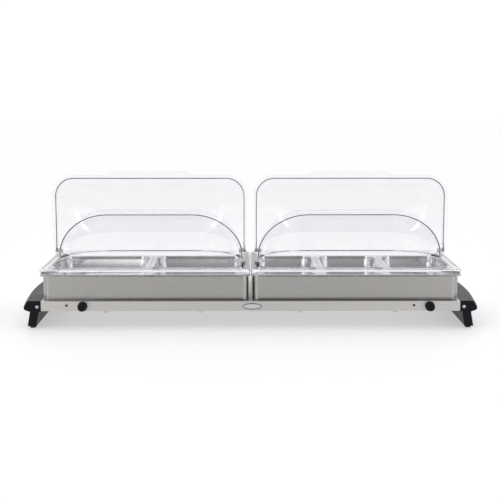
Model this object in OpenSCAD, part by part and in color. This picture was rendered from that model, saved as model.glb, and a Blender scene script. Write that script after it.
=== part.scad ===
// Electric buffet server: a heated tray on black end pieces carries two pan frames side by side,
// and each frame holds lift-out food pans under a clear roll-top lid.
// X runs along the length, the front faces -Y, Z is up, and Z = 0 is the table.

/* [Tray] */
// Length of the heated tray between its end pieces
tray_length = 1078; // [1076:1:1100]
// Depth of the tray from front to back
tray_depth = 385; // [375:1:420]
// Height of the tray's casing
tray_height = 25.5; // [25:0.5:32]
// Height of the casing's lower edge above the table
tray_clearance = 45.5; // [42:0.5:60]
// Sheet thickness of the casing
tray_sheet = 1.2; // [1:0.1:1.6]

/* [End pieces] */
// Width of a handle at its front face, without the bow of its grip
handle_width = 44; // [42:1:60]
// How far the grip bows outward at the middle of its depth
handle_bow = 13; // [6:1:20]
// Height of a rubber foot
foot_height = 6; // [4:0.5:10]
// Diameter of a rubber foot
foot_diameter = 15; // [12:0.5:18]

/* [Controls] */
// Diameter of a heat knob
knob_diameter = 24.5; // [22:0.5:26]
// How far a knob stands out from the tray's front
knob_reach = 20; // [18:1:26]
// Distance from the middle to the left knob
knob_left_x = 432; // [400:1:460]
// Distance from the middle to the right knob
knob_right_x = 461; // [440:1:480]
// Distance from a knob to the lamp on its left
lamp_offset = 41; // [30:1:60]
// Length of the blank oval badge
badge_length = 51; // [40:1:60]
// Height of the blank oval badge
badge_height = 17; // [12:1:20]

/* [Pan frames] */
// Length of a pan frame
frame_length = 532; // [532:0.5:534]
// Depth of a pan frame
frame_depth = 336; // [334:0.5:338]
// Height of a pan frame
frame_height = 64; // [63:1:90]
// Gap between the two pan frames
frame_gap = 11; // [8:0.5:14]
// Sheet thickness of a frame
frame_sheet = 1.2; // [1:0.1:1.4]
// Distance from the tray's front to the frames' front
frame_setback = 22; // [21:1:26]

/* [Pans] */
// Depth of a full-width food pan from its flange down
pan_drop = 61; // [40:1:61]
// Length of every pan from front to back
pan_length = 325; // [324:0.5:326]
// Sheet thickness of a pan
pan_sheet = 1; // [0.8:0.1:1.2]

/* [Lids] */
// Length of a lid's base
lid_length = 545; // [544:0.5:546]
// Depth of a lid's base
lid_depth = 340; // [338:0.5:344]
// Height of the skirt that stands on the frame
lid_skirt = 14; // [12:0.5:20]
// Radius of the arch at the shell's back edge
dome_radius = 144.5; // [143:0.5:146]
// Wall of the clear domes
dome_wall = 2.4; // [2:0.1:2.6]
// Height of the lid's pivots above the lid's ledge
pivot_height = 18; // [17.5:0.5:20]
// How far the lip of the lid's skirt hangs outside the frame
skirt_hang = 4; // [2:0.5:8]
// How far the shell is rolled back, with 90 fully open
lid_open = 90; // [90]

/* [Hidden] */

$fn = 96;
cut = 1; // how far a cutting solid runs past the face it opens
fit = 0.05; // radial clearance of a running fit
left = -1;
right = 1;

// inlet, at the back of the tray
inlet_flange = [50, 3, 22];
inlet_body = [27.4, 25, 19.4];
inlet_socket = [24, 22, 16.4];
inlet_screw_x = 20;
inlet_screw_head = 1.5;
inlet_reach = inlet_flange.y + inlet_screw_head;

// places of the tray, with the whole server's box centred on X = 0 and Y = 0
tray_front = (knob_reach - inlet_reach - tray_depth) / 2;
tray_back = tray_front + tray_depth;
tray_mid = (tray_front + tray_back) / 2;
tray_top_z = tray_clearance + tray_height;
tray_end = tray_length / 2;
inner_front = tray_front + tray_sheet;
inner_back = tray_back - tray_sheet;
floor_z = tray_clearance + tray_sheet;
control_z = tray_clearance + tray_height * 0.48;
lamp_z = control_z + 2.5;

// end pieces, as distances out from the tray's end
tip_z = tray_clearance + 8;
leg_top_z = tray_clearance - 2;
leg_inner = 6;
leg_outer = 28.5;
leg_splay = 6.5;
leg_mid_x = tray_end + (leg_inner + leg_outer) / 2 + leg_splay;
bow_radius = (pow(tray_depth / 2, 2) + pow(handle_bow, 2)) / (2 * handle_bow);
ear = [14, 1.2, 14];
ear_inset = 12;
end_screw_z = tray_clearance + 11;
end_screw_x = tray_end + 10;
leg_screw_spread = 130;
foot_inset = 16;

// screws under the tray's edges
cover_screw_xs = [-376, -131, 131, 376];
cover_screw_inset = 9;
cover_screw_r = 1.7;

// frames, pans and lids
frame_x = (frame_length + frame_gap) / 2;
frame_front = tray_front + frame_setback;
frame_mid = frame_front + frame_depth / 2;
frame_top_z = tray_top_z + frame_height;
frame_corner = 16;
well = [508, 304];
well_corner = 30;
third_pitch = 176.3;
half_pitch = 132.25;
pan_corner = 28;

lid_x = lid_length / 2 + 1;
lid_front = frame_mid - lid_depth / 2;
ledge_z = frame_top_z + lid_skirt;
ledge_sheet = 3;
ledge_width = 25;
lid_corner = 19.6;
pivot_y = 217.5; // behind the ledge's front edge
arch_half = 115; // half the flat at the top of the arches
arch_drop = 26; // how far the arches' circles lie beyond the pivots
moving_r = dome_radius;
moving_inner_r = moving_r - dome_wall;
fixed_r = moving_inner_r - 2.6;
fixed_inner_r = fixed_r - dome_wall;
fixed_tilt = 22; // the dome's arch leans this far forward of upright
shell_tilt = 18; // the shell's back edge, shut, leans this far forward
arc_steps = 12;
turn_steps = 12;
rim_gap = 0.5; // under the shell's rim when it is shut
shell_front = 15.5;
shell_half = 258;
shell_reach = pivot_y - shell_front;
shell_corner = 50;
flange_reach = 8;
lip_reach = 10;
pin_r = 3;
pin_boss_r = 7;
cap_x = [243, 248];
moving_boss_x = [252.8, 259.8];

// wiring inside the tray, above the insulation
insulation_sheet = 5;
wire_z = floor_z + insulation_sheet + 3.5;
wire_r = 2.4;
heater_r = 3.2;
heater_z = tray_top_z - tray_sheet - heater_r - 0.2;
heater_run = 400;
heater_pitch = 70;
block_y = tray_back - 66;

// ---- shared shapes ----

// Flat rectangle centred on the origin with round corners
module rounded(size, r) {
    square([size.x - 2 * r, size.y], center = true);
    square([size.x, size.y - 2 * r], center = true);
    for (sx = [-1, 1], sy = [-1, 1])
        translate([sx * (size.x / 2 - r), sy * (size.y / 2 - r)])
            circle(r);
}

// Round bar along Y from y0 back to y1
module bar_y(x, z, y0, y1, r) {
    translate([x, y0, z])
        rotate([-90, 0, 0])
            cylinder(r = r, h = y1 - y0);
}

// Round bar along X from x0 to x1
module bar_x(x0, x1, y, z, r) {
    translate([x0, y, z])
        rotate([0, 90, 0])
            cylinder(r = r, h = x1 - x0);
}

// Insulated wire through a list of points
module wire(points, r) {
    for (i = [0 : len(points) - 2]) {
        step = points[i + 1] - points[i];
        translate(points[i])
            rotate([0, acos(step.z / norm(step)), atan2(step.y, step.x)])
                cylinder(r = r, h = norm(step), $fn = 24);
    }
    for (i = [1 : len(points) - 2])
        translate(points[i])
            sphere(r = r, $fn = 24);
}

// ---- heated tray ----

module tray_top() {
    color([0.72, 0.71, 0.70])
    difference() {
        union() {
            difference() {
                translate([-tray_end, tray_front, tray_clearance])
                    cube([tray_length, tray_depth, tray_height]);
                translate([-tray_end + tray_sheet, inner_front, tray_clearance - cut])
                    cube([tray_length - 2 * tray_sheet, tray_depth - 2 * tray_sheet,
                        tray_height - tray_sheet + cut]);
            }
            cover_tabs();
            end_ears();
        }
        control_holes();
        inlet_hole();
    }
}

// Folded tabs inside the skirt that the bottom cover's screws bite into
module cover_tabs() {
    for (x = cover_screw_xs, back = [0, 1])
        translate([x - 8, back ? inner_back - 16 : inner_front, floor_z])
            difference() {
                cube([16, 16, 1.5]);
                translate([8, back ? 16 - cover_screw_inset : cover_screw_inset, -cut])
                    cylinder(r = cover_screw_r + fit, h = 4);
            }
}

// Ears at both ends that the handles are screwed to
module end_ears() {
    for (side = [left, right], y = [tray_front + ear_inset, tray_back - ear_inset - ear.y])
        difference() {
            translate([side * (tray_end + ear.x / 2 - 0.5) - ear.x / 2 - 0.5, y, end_screw_z - ear.z / 2])
                cube([ear.x + 1, ear.y, ear.z]);
            bar_y(side * end_screw_x, end_screw_z, y - cut, y + ear.y + cut, 2 + fit);
        }
}

module control_holes() {
    for (x = [-knob_left_x, knob_right_x]) {
        bar_y(x, control_z, tray_front - cut, inner_front + cut, 4.5 + fit);
        bar_y(x - lamp_offset, lamp_z, tray_front - cut, inner_front + cut, 2.9 + fit);
    }
}

module inlet_hole() {
    translate([-inlet_body.x / 2 - 0.3, inner_back - cut, control_z - inlet_body.z / 2 - 0.3])
        cube([inlet_body.x + 0.6, tray_sheet + 2 * cut, inlet_body.z + 0.6]);
    for (side = [left, right])
        bar_y(side * inlet_screw_x, control_z, inner_back - cut, tray_back + cut, 1.5 + fit);
}

module tray_bottom() {
    gap = tray_sheet + 0.3;
    color([0.66, 0.66, 0.67])
    difference() {
        translate([-tray_end + gap, tray_front + gap, tray_clearance])
            cube([tray_length - 2 * gap, tray_depth - 2 * gap, tray_sheet]);
        for (x = cover_screw_xs, y = [inner_front + cover_screw_inset, inner_back - cover_screw_inset])
            translate([x, y, tray_clearance - cut])
                cylinder(r = cover_screw_r + fit, h = tray_sheet + 2 * cut);
        for (side = [left, right], i = [-3 : 3])
            translate([side * frame_x + i * 12 - 2, tray_front + 20, tray_clearance - cut])
                cube([4, 16, tray_sheet + 2 * cut]);
    }
}

module bottom_screws() {
    color([0.75, 0.75, 0.76])
    for (x = cover_screw_xs, y = [inner_front + cover_screw_inset, inner_back - cover_screw_inset])
        translate([x, y, 0]) {
            translate([0, 0, tray_clearance - 3])
                cylinder(r = 6, h = 3);
            translate([0, 0, tray_clearance - cut])
                cylinder(r = cover_screw_r, h = 6);
        }
}

// Sheathed tubular element: runs along X joined by half-round bends, both ends at the inner side
module heater(side) {
    runs = 4;
    first_y = frame_mid - heater_pitch * (runs - 1) / 2;
    color([0.35, 0.34, 0.33])
    translate([side * frame_x, 0, heater_z]) {
        for (i = [0 : runs - 1])
            bar_x(-heater_run / 2, heater_run / 2, first_y + i * heater_pitch, 0, heater_r);
        for (i = [0 : runs - 2]) {
            at_outer = i % 2 == 0;
            translate([(at_outer ? side : -side) * heater_run / 2, first_y + (i + 0.5) * heater_pitch, 0])
                rotate([0, 0, (at_outer ? side : -side) > 0 ? -90 : 90])
                    rotate_extrude(angle = 180)
                        translate([heater_pitch / 2, 0])
                            circle(heater_r);
        }
        for (y = [first_y, first_y + (runs - 1) * heater_pitch]) {
            near = -side * (heater_run / 2);
            far = -side * (heater_run / 2 + 20);
            bar_x(min(near, far), max(near, far), y, 0, heater_r - 1.6);
        }
    }
}

// Flat bars under the element with posts up to the tray's top
module heater_straps(side) {
    reach = heater_pitch * 1.5 + 18;
    color([0.70, 0.70, 0.68])
    for (x = [-120, 120]) {
        translate([side * frame_x + x - 6, frame_mid - reach, heater_z - heater_r - 1.4])
            cube([12, 2 * reach, 1.2]);
        for (y = [frame_mid - reach + 6, frame_mid + reach - 6])
            translate([side * frame_x + x, y, heater_z - heater_r - 0.5])
                cylinder(r = 4, h = tray_top_z - tray_sheet - heater_z + heater_r + 0.5);
    }
}

module insulation(side) {
    color([0.86, 0.84, 0.74])
    translate([side * frame_x - 245, frame_mid - 130, floor_z])
        cube([490, 260, insulation_sheet]);
}

// ---- controls ----

module thermostat(x) {
    color([0.16, 0.16, 0.17])
    difference() {
        union() {
            translate([x - 17, inner_front, control_z - 9.5])
                cube([34, 24, 19]);
            bar_y(x, control_z, tray_front - 5, inner_front + cut, 4.5);
            for (dx = [-9, 9])
                translate([x + dx - 3, inner_front + 23, control_z - 0.4])
                    cube([6, 9, 0.8]);
        }
        bar_y(x, control_z, tray_front - 6, inner_front + 16, pin_r + fit);
    }
}

module thermostat_nut(x) {
    color([0.78, 0.78, 0.78])
    difference() {
        translate([x, tray_front - 3, control_z])
            rotate([-90, 30, 0])
                cylinder(r = 7.4, h = 3, $fn = 6);
        bar_y(x, control_z, tray_front - 4, tray_front + cut, 4.5 + fit);
    }
}

// Spindle with a flat along its outer end
module knob_shaft(x) {
    color([0.78, 0.78, 0.78])
    difference() {
        bar_y(x, control_z, tray_front - knob_reach + 5, inner_front + 14, pin_r);
        translate([x - 4, tray_front - knob_reach + 4, control_z + 2.2])
            cube([8, 10, 4]);
    }
}

module knob(x) {
    color([0.05, 0.05, 0.05])
    difference() {
        union() {
            bar_y(x, control_z, tray_front - 8, tray_front - 1, knob_diameter / 2);
            bar_y(x, control_z, tray_front - knob_reach + 1, tray_front - 7, knob_diameter / 2 - 1.6);
            bar_y(x, control_z, tray_front - knob_reach, tray_front - knob_reach + 2,
                knob_diameter / 2 - 2.6);
        }
        bar_y(x, control_z, tray_front - 6, tray_front, 8.2);
        difference() {
            bar_y(x, control_z, tray_front - knob_reach + 4, tray_front, pin_r + fit);
            translate([x - 4, tray_front - knob_reach + 3, control_z + 2.3])
                cube([8, 9, 4]);
        }
        translate([x - 0.8, tray_front - knob_reach - cut, control_z + 3])
            cube([1.6, 1.8, 8]);
    }
}

module lamp_lens(x) {
    color([0.35, 0.02, 0.03])
    union() {
        bar_y(x, lamp_z, tray_front - 1.2, tray_front, 3.3);
        bar_y(x, lamp_z, tray_front - 1, inner_front + 3, 2.9);
        intersection() {
            translate([x, tray_front + 0.6, lamp_z])
                sphere(r = 3.4);
            bar_y(x, lamp_z, tray_front - 4, tray_front - 0.6, 3.3);
        }
    }
}

module lamp_body(x) {
    color([0.85, 0.84, 0.80])
    difference() {
        union() {
            bar_y(x, lamp_z, inner_front, inner_front + 18, 4.4);
            for (dz = [-1.8, 1.8])
                bar_y(x, lamp_z + dz, inner_front + 17, inner_front + 24, 0.7);
        }
        bar_y(x, lamp_z, inner_front - cut, inner_front + 4, 2.9 + fit);
    }
}

// Blank oval
module badge_plate() {
    color([0.80, 0.80, 0.80])
    translate([4, tray_front, control_z])
        rotate([90, 0, 0])
            linear_extrude(1.2)
                scale([badge_length / badge_height, 1])
                    circle(d = badge_height, $fn = 72);
}

// ---- inlet and wiring ----

module inlet_housing() {
    color([0.08, 0.08, 0.08])
    difference() {
        union() {
            translate([-inlet_flange.x / 2, tray_back, control_z - inlet_flange.z / 2])
                cube(inlet_flange);
            translate([-inlet_body.x / 2, tray_back - inlet_body.y, control_z - inlet_body.z / 2])
                cube(inlet_body);
        }
        translate([-inlet_socket.x / 2, tray_back + inlet_flange.y - inlet_socket.y,
            control_z - inlet_socket.z / 2])
            cube([inlet_socket.x, inlet_socket.y + cut, inlet_socket.z]);
        for (side = [left, right])
            bar_y(side * inlet_screw_x, control_z, tray_back - cut, tray_back + inlet_flange.y + cut,
                1.5 + fit);
        inlet_blades(fit);
    }
}

// Three contact blades, grown all round by gap for the slots that hold them
module inlet_blades(gap) {
    length = 37;
    for (place = [[-7, -1.8], [0, 2.2], [7, -1.8]])
        translate([place.x - 1 - gap, tray_back + inlet_flange.y - 6 - length, control_z + place.y - 2 - gap])
            cube([2 + 2 * gap, length, 4 + 2 * gap]);
}

module inlet_pins() {
    color([0.80, 0.72, 0.45])
    inlet_blades(0);
}

module inlet_screws() {
    face = tray_back + inlet_flange.y;
    color([0.75, 0.75, 0.76])
    for (side = [left, right]) {
        bar_y(side * inlet_screw_x, control_z, face, face + inlet_screw_head, 2.9);
        bar_y(side * inlet_screw_x, control_z, inner_back - 8, face + 0.5, 1.5);
    }
}

module terminal_block() {
    color([0.90, 0.89, 0.86])
    difference() {
        translate([-24, block_y - 9, floor_z])
            cube([48, 18, 15]);
        for (x = [-16, 0, 16])
            translate([x, block_y, floor_z + 9])
                cylinder(r = 2.6, h = 7);
    }
}

module wiring_supply() {
    color([0.25, 0.25, 0.30])
    for (x = [-7, 0, 7])
        wire([[x, tray_back - 41, control_z], [x, tray_back - 48, control_z - 3],
            [x * 1.6, block_y + 10.4, wire_z]], 1.6);
}

// Harness from the terminal block to one thermostat, its lamp and its element
module wiring(side, x) {
    color(side == left ? [0.55, 0.12, 0.10] : [0.12, 0.20, 0.45]) {
        wire([[side * 14, block_y - 9, wire_z], [side * 14, inner_front + 46, wire_z],
            [x + 9, inner_front + 46, wire_z], [x + 9, inner_front + 32, control_z]], wire_r);
        wire([[side * 20, block_y - 9, wire_z], [side * 20, frame_mid, wire_z],
            [side * 40, frame_mid - heater_pitch * 1.5, wire_z],
            [side * (frame_x - heater_run / 2 - 21), frame_mid - heater_pitch * 1.5, heater_z]], 1.6);
        wire([[x - 9, inner_front + 32, control_z], [x - 12, inner_front + 40, wire_z],
            [x - lamp_offset, inner_front + 40, wire_z],
            [x - lamp_offset, inner_front + 24.5, lamp_z]], 1.2);
    }
}

// ---- end pieces ----

// Outline of the grip in section, as distance out from the tray's end and height
function grip_outline(from) = [
    [from, tray_top_z + 1],
    [handle_width - 12, tray_top_z + 1],
    [handle_width - 8.5, tray_top_z - 1],
    [handle_width, tip_z + 3],
    [handle_width, tip_z - 2],
    [handle_width - 3.5, tip_z - 6],
    [leg_outer, leg_top_z],
    [from, leg_top_z]];

// Grip swept along an arc in plan, cut off at the tray's front and back
module bowed_grip(start) {
    intersection() {
        translate([tray_end + handle_width + handle_bow - bow_radius, tray_mid, 0])
            rotate([0, 0, -15])
                rotate_extrude(angle = 30, $fn = 720)
                    translate([bow_radius - handle_width, 0])
                        polygon(grip_outline(start));
        translate([tray_end, tray_front, leg_top_z - cut])
            cube([handle_width + handle_bow + cut, tray_depth, tray_height + 4 * cut]);
    }
}

module handle(side) {
    grip_start = 14;
    color([0.09, 0.10, 0.12])
    difference() {
        mirror([side == left ? 1 : 0, 0, 0]) {
            translate([tray_end, tray_front, leg_top_z])
                cube([leg_outer, tray_depth, tray_top_z + 1 - leg_top_z]);
            bowed_grip(grip_start);
        }
        for (y = [tray_front + ear_inset, tray_back - ear_inset - ear.y])
            translate([side * (tray_end + ear.x / 2) - ear.x / 2 - 0.5, y - 0.3,
                end_screw_z - ear.z / 2 - 0.3])
                cube([ear.x + 1, ear.y + 0.6, ear.z + 0.6]);
        for (y = [tray_front - cut, tray_back - 30])
            bar_y(side * end_screw_x, end_screw_z, y, y + 30 + cut, 2 + fit);
        for (dy = [-1, 0, 1])
            translate([side * (tray_end + 17), tray_mid + dy * leg_screw_spread, leg_top_z - cut])
                cylinder(r = 2 + fit, h = 15 + cut);
    }
}

module handle_screws() {
    color([0.80, 0.80, 0.81])
    for (side = [left, right]) {
        bar_y(side * end_screw_x, end_screw_z, tray_front - 1.6, tray_front, 4.2);
        bar_y(side * end_screw_x, end_screw_z, tray_front - 0.5, tray_front + 24, 2);
        bar_y(side * end_screw_x, end_screw_z, tray_back, tray_back + 1.6, 4.2);
        bar_y(side * end_screw_x, end_screw_z, tray_back - 24, tray_back + 0.5, 2);
    }
}

// Splayed panel that carries one end of the tray
module leg(side) {
    head_z = leg_top_z - 14;
    color([0.08, 0.09, 0.11])
    difference() {
        mirror([side == left ? 1 : 0, 0, 0])
            translate([tray_end, tray_back, 0])
                rotate([90, 0, 0])
                    linear_extrude(tray_depth)
                        polygon([[leg_inner, leg_top_z], [leg_outer, leg_top_z],
                            [leg_outer + leg_splay, foot_height], [leg_inner + leg_splay, foot_height]]);
        for (dy = [-1, 0, 1])
            translate([side * (tray_end + 17), tray_mid + dy * leg_screw_spread, 0]) {
                cylinder(r = 2 + fit, h = leg_top_z + cut);
                translate([0, 0, foot_height - cut])
                    cylinder(r = 4.2, h = head_z - foot_height + cut);
            }
        for (y = [tray_front + foot_inset, tray_back - foot_inset])
            translate([side * leg_mid_x, y, foot_height - cut])
                cylinder(r = 4 + fit, h = 9 + cut);
    }
}

module leg_screws() {
    head_z = leg_top_z - 14;
    color([0.75, 0.75, 0.76])
    for (side = [left, right], dy = [-1, 0, 1])
        translate([side * (tray_end + 17), tray_mid + dy * leg_screw_spread, 0]) {
            translate([0, 0, head_z - 3])
                cylinder(r = 3.9, h = 3);
            translate([0, 0, head_z - 1])
                cylinder(r = 2, h = 28);
        }
}

module foot(side, y) {
    color([0.12, 0.12, 0.12])
    translate([side * leg_mid_x, y, 0]) {
        cylinder(d = foot_diameter, h = foot_height);
        cylinder(r = 4, h = foot_height + 8);
    }
}

// ---- pan frames and pans ----

module pan_frame(side) {
    outer = [frame_length, frame_depth];
    inner = [frame_length - 2 * frame_sheet, frame_depth - 2 * frame_sheet];
    hem = 3;
    color([0.72, 0.72, 0.74])
    translate([side * frame_x, frame_mid, tray_top_z])
        difference() {
            union() {
                linear_extrude(frame_height)
                    rounded(outer, frame_corner);
                linear_extrude(hem)
                    rounded([outer.x + 2, outer.y + 2], frame_corner + 1);
            }
            translate([0, 0, -cut])
                linear_extrude(frame_height - frame_sheet + cut)
                    rounded(inner, frame_corner - frame_sheet);
            linear_extrude(frame_height + cut)
                rounded(well, well_corner);
        }
}

// Straight-sided food pan with a flat flange that hangs on the frame
module pan(x, width) {
    body = [width - 24, pan_length - 24];
    color([0.76, 0.76, 0.77])
    translate([x, frame_mid, frame_top_z])
        difference() {
            union() {
                linear_extrude(pan_sheet)
                    rounded([width, pan_length], 10);
                translate([0, 0, -pan_drop])
                    linear_extrude(pan_drop + pan_sheet)
                        rounded([body.x + 2 * pan_sheet, body.y + 2 * pan_sheet], pan_corner + pan_sheet);
            }
            translate([0, 0, pan_sheet - pan_drop])
                linear_extrude(pan_drop + cut)
                    rounded(body, pan_corner);
        }
}

module half_pan(i) {
    pan(-frame_x + i * half_pitch, 2 * half_pitch - 0.5);
}

module third_pan(i) {
    pan(frame_x + i * third_pitch, third_pitch - 0.5);
}

// ---- roll-top lids, each drawn about the middle of its ledge's front edge ----

// Half of the dome's plan behind its pivots: distance back, then place along X
module dome_plan(r) {
    intersection() {
        union() {
            translate([0, -arch_half])
                square([r - arch_drop, 2 * arch_half]);
            for (side = [left, right])
                translate([-arch_drop, side * arch_half])
                    circle(r, $fn = 180);
        }
        translate([0, -shell_half])
            square([r - arch_drop, 2 * shell_half]);
    }
}

// Arch with round corners of radius r, half as wide as half and as high as top above the pivots,
// as places along X and distances from the pivots, left to right
function arch(half, top, r) =
    let (centre = top - r,
        low = centre < pin_r ? asin((pin_r - centre) / r) : 0,
        right_side = concat(
            [for (i = [0 : 3]) let (t = i / 4) [half - r + r * cos(low), pin_r + t * max(0, centre - pin_r)]],
            [for (i = [0 : arc_steps]) let (a = low + (90 - low) * i / arc_steps)
                [half - r + r * cos(a), centre + r * sin(a)]]),
        count = len(right_side))
    concat([for (i = [0 : count - 1]) [-right_side[i].x, right_side[i].y]],
        [for (i = [count - 1 : -1 : 0]) right_side[i]]);

// The arch's points turned about the pivots, with angle measured back from upright
function turned(points, angle) =
    [for (p = points) [p.x, pivot_y + p.y * sin(angle), pivot_height + p.y * cos(angle)]];

// Even from 0 to 1 with a gentle start and end
function eased(t) = t * t * (3 - 2 * t);

// Rows of the fixed dome, from its front edge to the back and down to the ledge
function dome_rows(r) =
    let (row = arch(arch_half + r, r - arch_drop, r))
    concat(
        [for (i = [0 : turn_steps]) turned(row, -fixed_tilt + (90 + fixed_tilt) * i / turn_steps)],
        [[for (p = row) [p.x, pivot_y + p.y, -cut]]]);

// Rows of the shut shell, from its back edge to the front and down to its rim
function shell_rows(wall, bottom) =
    let (row = function(s) arch(
            (1 - s) * (arch_half + moving_r) + s * shell_half - wall,
            (1 - s) * (moving_r - arch_drop) + s * shell_reach - wall,
            (1 - s) * moving_r + s * shell_corner - wall))
    concat(
        [for (i = [0 : turn_steps]) let (t = i / turn_steps)
            turned(row(eased(t)), -shell_tilt - (90 - shell_tilt) * t)],
        [[for (p = row(1)) [p.x, pivot_y - p.y, bottom]]]);

// Closed solid between an outer and an inner sheet of rows
module walled(outer, inner, flipped) {
    rows = len(outer);
    cols = len(outer[0]);
    half = rows * cols;
    points = concat([for (row = outer) each row], [for (row = inner) each row]);
    faces = concat(
        [for (i = [0 : rows - 2], j = [0 : cols - 2]) let (k = i * cols + j)
            each [[k, k + cols + 1, k + 1], [k, k + cols, k + cols + 1]]],
        [for (i = [0 : rows - 2], j = [0 : cols - 2]) let (k = half + i * cols + j)
            each [[k, k + 1, k + cols + 1], [k, k + cols + 1, k + cols]]],
        [for (j = [0 : cols - 2]) each [[j, half + j + 1, half + j], [j, j + 1, half + j + 1]]],
        [for (j = [0 : cols - 2]) let (k = half - cols + j)
            each [[k, k + half, k + half + 1], [k, k + half + 1, k + 1]]],
        [for (i = [0 : rows - 2]) let (k = i * cols)
            each [[k, k + half + cols, k + cols], [k, k + half, k + half + cols]]],
        [for (i = [0 : rows - 2]) let (k = i * cols + cols - 1)
            each [[k, k + cols, k + half + cols], [k, k + half + cols, k + half]]]);
    polyhedron(points, flipped ? [for (f = faces) [f.x, f.z, f.y]] : faces, convexity = 6);
}

module lid_base() {
    color([0.90, 0.91, 0.95, 0.35]) {
        difference() {
            translate([0, lid_depth / 2, -lid_skirt - skirt_hang])
                linear_extrude(lid_skirt + skirt_hang)
                    rounded([lid_length, lid_depth], lid_corner);
            translate([0, lid_depth / 2, -lid_skirt - skirt_hang - cut])
                linear_extrude(skirt_hang + cut)
                    rounded([lid_length - 6, frame_depth + 0.8], 18);
            translate([0, lid_depth / 2, -lid_skirt - cut])
                linear_extrude(lid_skirt - ledge_sheet + cut)
                    rounded([lid_length - 6, lid_depth - 13], 12);
            translate([0, 0, -lid_skirt])
                linear_extrude(lid_skirt + cut)
                    ring_opening();
        }
        walled(dome_rows(fixed_r), dome_rows(fixed_inner_r), false);
        lid_stops();
    }
}

// Straight in front of the pivots, and inside the dome's plan behind them
module ring_opening() {
    half = lid_length / 2 - ledge_width;
    back = pivot_y + 30;
    translate([0, (ledge_width + back) / 2])
        rounded([2 * half, back - ledge_width], 34);
    intersection() {
        translate([0, pivot_y])
            rotate([0, 0, 90])
                dome_plan(fixed_inner_r - 3);
        translate([-half, pivot_y - cut])
            square([2 * half, lid_depth]);
    }
}

// Posts that the rolled-back shell's edge comes down on
module lid_stops() {
    stop_back = 16;
    stop_length = 6;
    for (side = [left, right])
        translate([side * (arch_half + moving_r - 8) - 2.2, pivot_y + stop_back, -cut])
            cube([4.4, stop_length, cut + pivot_height + stop_back * tan(shell_tilt) - 0.5]);
}

// Flange round the shell's rim, with the lip that lifts it
module shell_rim() {
    rim_back = pivot_y - pivot_height;
    half = shell_half + flange_reach;
    difference() {
        union() {
            translate([0, shell_front - flange_reach + 150, rim_gap])
                linear_extrude(2)
                    rounded([2 * half, 300], shell_corner + flange_reach);
            translate([0, 0, rim_gap])
                linear_extrude(2.6)
                    polygon([[-116.5, shell_front + 1], [-116.5, shell_front - flange_reach],
                        [-99.5, shell_front - flange_reach - lip_reach],
                        [99.5, shell_front - flange_reach - lip_reach],
                        [116.5, shell_front - flange_reach], [116.5, shell_front + 1]]);
        }
        translate([-half - cut, rim_back, -cut])
            cube([2 * half + 2 * cut, 200, 5]);
        translate([0, shell_front + dome_wall / 2 + 150, -cut])
            linear_extrude(5)
                rounded([2 * shell_half - dome_wall, 300], shell_corner - dome_wall / 2);
    }
}

module lid_shell() {
    color([0.90, 0.91, 0.95, 0.35])
    translate([0, pivot_y, pivot_height])
        rotate([-lid_open, 0, 0])
            translate([0, -pivot_y, -pivot_height])
                difference() {
                    union() {
                        walled(shell_rows(0, rim_gap), shell_rows(dome_wall, rim_gap), true);
                        shell_rim();
                        for (flip = [0, 1])
                            mirror([flip, 0, 0])
                                bar_x(moving_boss_x[0], moving_boss_x[1], pivot_y, pivot_height, pin_boss_r);
                    }
                    bar_x(-shell_half - 10, shell_half + 10, pivot_y, pivot_height, pin_r + fit);
                }
}

// Rivets through the shell and the dome's wall
module pivot_pins() {
    color([0.80, 0.80, 0.82])
    for (flip = [0, 1])
        mirror([flip, 0, 0]) {
            bar_x(cap_x[0] + 0.8, moving_boss_x[1] + 1, pivot_y, pivot_height, pin_r);
            bar_x(moving_boss_x[1] + 0.4, moving_boss_x[1] + 2.2, pivot_y, pivot_height, 5.5);
        }
}

// Caps on the rivets' inner ends
module pivot_caps() {
    color([0.20, 0.19, 0.22])
    for (flip = [0, 1])
        mirror([flip, 0, 0])
            difference() {
                bar_x(cap_x[0], cap_x[1], pivot_y, pivot_height, 5.5);
                bar_x(cap_x[0] + 0.8, cap_x[1] + cut, pivot_y, pivot_height, pin_r + fit);
            }
}

module on_frame(side) {
    translate([side * lid_x, lid_front, ledge_z])
        children();
}

// ---- one module per node ----

module heater_left() { heater(left); }
module heater_right() { heater(right); }
module heater_straps_left() { heater_straps(left); }
module heater_straps_right() { heater_straps(right); }
module insulation_left() { insulation(left); }
module insulation_right() { insulation(right); }
module thermostat_left() { thermostat(-knob_left_x); }
module thermostat_right() { thermostat(knob_right_x); }
module thermostat_nut_left() { thermostat_nut(-knob_left_x); }
module thermostat_nut_right() { thermostat_nut(knob_right_x); }
module knob_shaft_left() { knob_shaft(-knob_left_x); }
module knob_shaft_right() { knob_shaft(knob_right_x); }
module knob_left() { knob(-knob_left_x); }
module knob_right() { knob(knob_right_x); }
module lamp_lens_left() { lamp_lens(-knob_left_x - lamp_offset); }
module lamp_lens_right() { lamp_lens(knob_right_x - lamp_offset); }
module lamp_body_left() { lamp_body(-knob_left_x - lamp_offset); }
module lamp_body_right() { lamp_body(knob_right_x - lamp_offset); }
module wiring_left() { wiring(left, -knob_left_x); }
module wiring_right() { wiring(right, knob_right_x); }
module handle_left() { handle(left); }
module handle_right() { handle(right); }
module leg_left() { leg(left); }
module leg_right() { leg(right); }
module foot_front_left() { foot(left, tray_front + foot_inset); }
module foot_front_right() { foot(right, tray_front + foot_inset); }
module foot_rear_left() { foot(left, tray_back - foot_inset); }
module foot_rear_right() { foot(right, tray_back - foot_inset); }
module pan_frame_left() { pan_frame(left); }
module pan_frame_right() { pan_frame(right); }
module half_pan_1() { half_pan(-1); }
module half_pan_2() { half_pan(1); }
module third_pan_1() { third_pan(-1); }
module third_pan_2() { third_pan(0); }
module third_pan_3() { third_pan(1); }
module lid_base_left() { on_frame(left) lid_base(); }
module lid_base_right() { on_frame(right) lid_base(); }
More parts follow.
